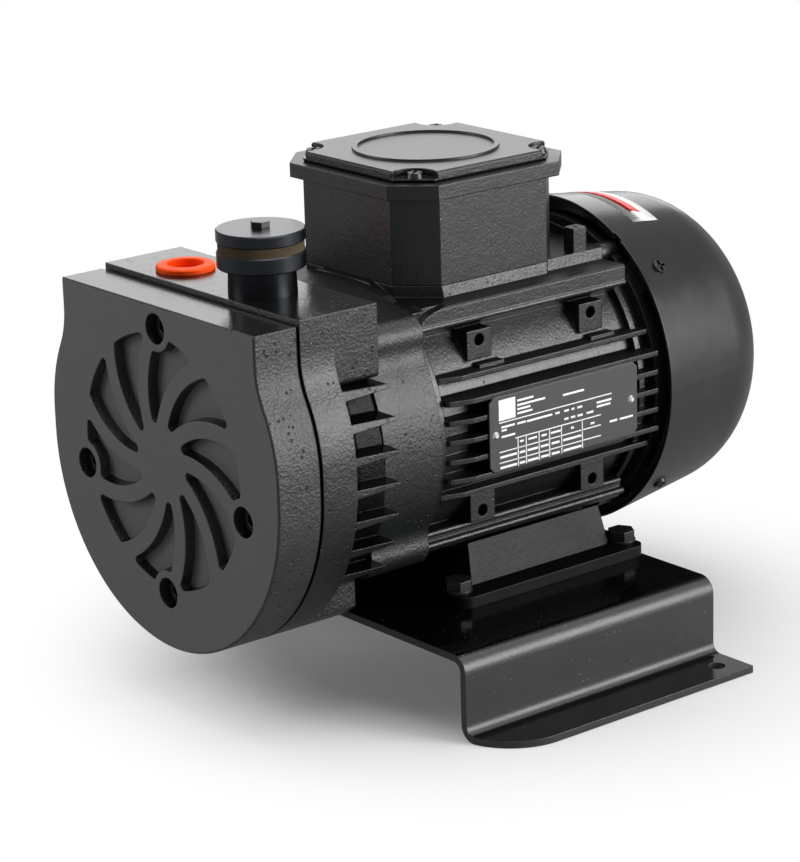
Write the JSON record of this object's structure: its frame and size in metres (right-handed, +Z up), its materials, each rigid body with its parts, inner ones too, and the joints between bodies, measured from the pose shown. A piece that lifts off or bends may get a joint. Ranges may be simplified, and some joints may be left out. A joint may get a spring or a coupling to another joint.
{
  "type": "dry rotary vane vacuum pump",
  "caption": "Dry rotary vane vacuum pump with a swirl-ribbed round-bellied cover, close-coupled to a finned electric motor with terminal box and fan cowl, on a sheet steel bracket.",
  "frame": {"origin": "on the floor, midway between the bracket's two fixing holes", "axes": "+Z up; +Y along the shaft from the pump cover towards the fan cowl; +X to the right seen from the pump cover"},
  "size_m": [0.258, 0.2807, 0.2105],
  "materials": {
    "bracket_paint": "black powder coat, semi-gloss",
    "casting_paint": "black paint over sand-cast aluminium",
    "housing_paint": "black paint over grey cast iron",
    "cover_paint": "dark grey satin paint over grey cast iron",
    "sheet_paint": "black paint on drawn sheet steel",
    "screw_black": "black oxide",
    "turned_steel": "turned steel, blued",
    "bright_steel": "ground steel",
    "bearing_steel": "polished bearing steel",
    "lamination": "stacked electrical steel",
    "copper": "varnished copper wire",
    "carbon": "pressed carbon",
    "gasket": "matt gasket",
    "seal_rubber": "moulded rubber",
    "felt": "dust filter felt",
    "plug_orange": "soft orange plastic",
    "fan_plastic": "moulded black plastic",
    "board": "moulded terminal board",
    "terminal_brass": "brass",
    "plate": "anodised black aluminium with pale ruled lines",
    "rivet": "bright aluminium"
  },
  "bodies": {
    "pump_and_motor": {"base_bracket": "bracket_paint", "motor_foot": "casting_paint", "motor_frame": "casting_paint", "front_shield": "casting_paint", "rear_shield": "casting_paint", "terminal_box": "casting_paint", "terminal_box_lid": "casting_paint", "pump_housing": "housing_paint", "end_cover": "cover_paint", "fan_cowl": "sheet_paint", "foot_bolts": "screw_black", "foot_washers": "screw_black", "foot_nuts": "screw_black", "foot_screws": "screw_black", "front_shield_screws": "screw_black", "rear_shield_screws": "screw_black", "cowl_screws": "screw_black", "lid_screws": "screw_black", "housing_screws": "screw_black", "cover_screws": "screw_black", "terminal_box_screws": "screw_black", "silencer_bolt": "screw_black", "silencer_body": "turned_steel", "silencer_cap": "turned_steel", "wave_washer": "bright_steel", "front_bearing_outer": "bearing_steel", "rear_bearing_outer": "bearing_steel", "stator_core": "lamination", "stator_windings": "copper", "cover_gasket": "gasket", "lid_gasket": "gasket", "shaft_seal": "seal_rubber", "silencer_felt": "felt", "terminal_board": "board", "terminal_studs": "terminal_brass", "nameplate": "plate", "nameplate_rivets": "rivet"},
    "rotor": {"motor_shaft": "bright_steel", "rotor_core": "lamination", "front_bearing_inner": "bearing_steel", "rear_bearing_inner": "bearing_steel", "pump_rotor": "lamination", "rotor_key": "bright_steel", "rotor_washer": "bright_steel", "rotor_screw": "screw_black", "cooling_fan": "fan_plastic", "fan_clip": "bright_steel"},
    "front_balls": {"front_bearing_balls": "bearing_steel"},
    "rear_balls": {"rear_bearing_balls": "bearing_steel"},
    "vane_1_body": {"vane_1": "carbon"},
    "vane_2_body": {"vane_2": "carbon"},
    "vane_3_body": {"vane_3": "carbon"},
    "vane_4_body": {"vane_4": "carbon"},
    "plug": {"port_plug": "plug_orange"}
  },
  "joints": [
    {"name": "rotor_spin", "type": "hinge", "parent": "pump_and_motor", "child": "rotor", "pos_m": [0, -0.139, 0.106], "axis": [0, 1, 0], "continuous": true},
    {"name": "front_balls_spin", "type": "hinge", "parent": "pump_and_motor", "child": "front_balls", "pos_m": [0, -0.1165, 0.106], "axis": [0, 1, 0], "continuous": true},
    {"name": "rear_balls_spin", "type": "hinge", "parent": "pump_and_motor", "child": "rear_balls", "pos_m": [0, 0.016, 0.106], "axis": [0, 1, 0], "continuous": true},
    {"name": "vane_1_slide", "type": "slide", "parent": "rotor", "child": "vane_1_body", "axis": [0, 0, -1], "range_m": [-0.0015, 0]},
    {"name": "vane_2_slide", "type": "slide", "parent": "rotor", "child": "vane_2_body", "axis": [1, 0, 0], "range_m": [-0.0015, 0]},
    {"name": "vane_3_slide", "type": "slide", "parent": "rotor", "child": "vane_3_body", "axis": [0, 0, 1], "range_m": [-0.0015, 0]},
    {"name": "vane_4_slide", "type": "slide", "parent": "rotor", "child": "vane_4_body", "axis": [-1, 0, 0], "range_m": [-0.0015, 0]},
    {"name": "plug_pull", "type": "slide", "parent": "pump_and_motor", "child": "plug", "axis": [0, 0, 1], "range_m": [0, 0.02]}
  ],
  "couplings": [
    {"joint": "front_balls_spin", "follows": "rotor_spin", "ratio": 0.381},
    {"joint": "rear_balls_spin", "follows": "rotor_spin", "ratio": 0.381}
  ]
}
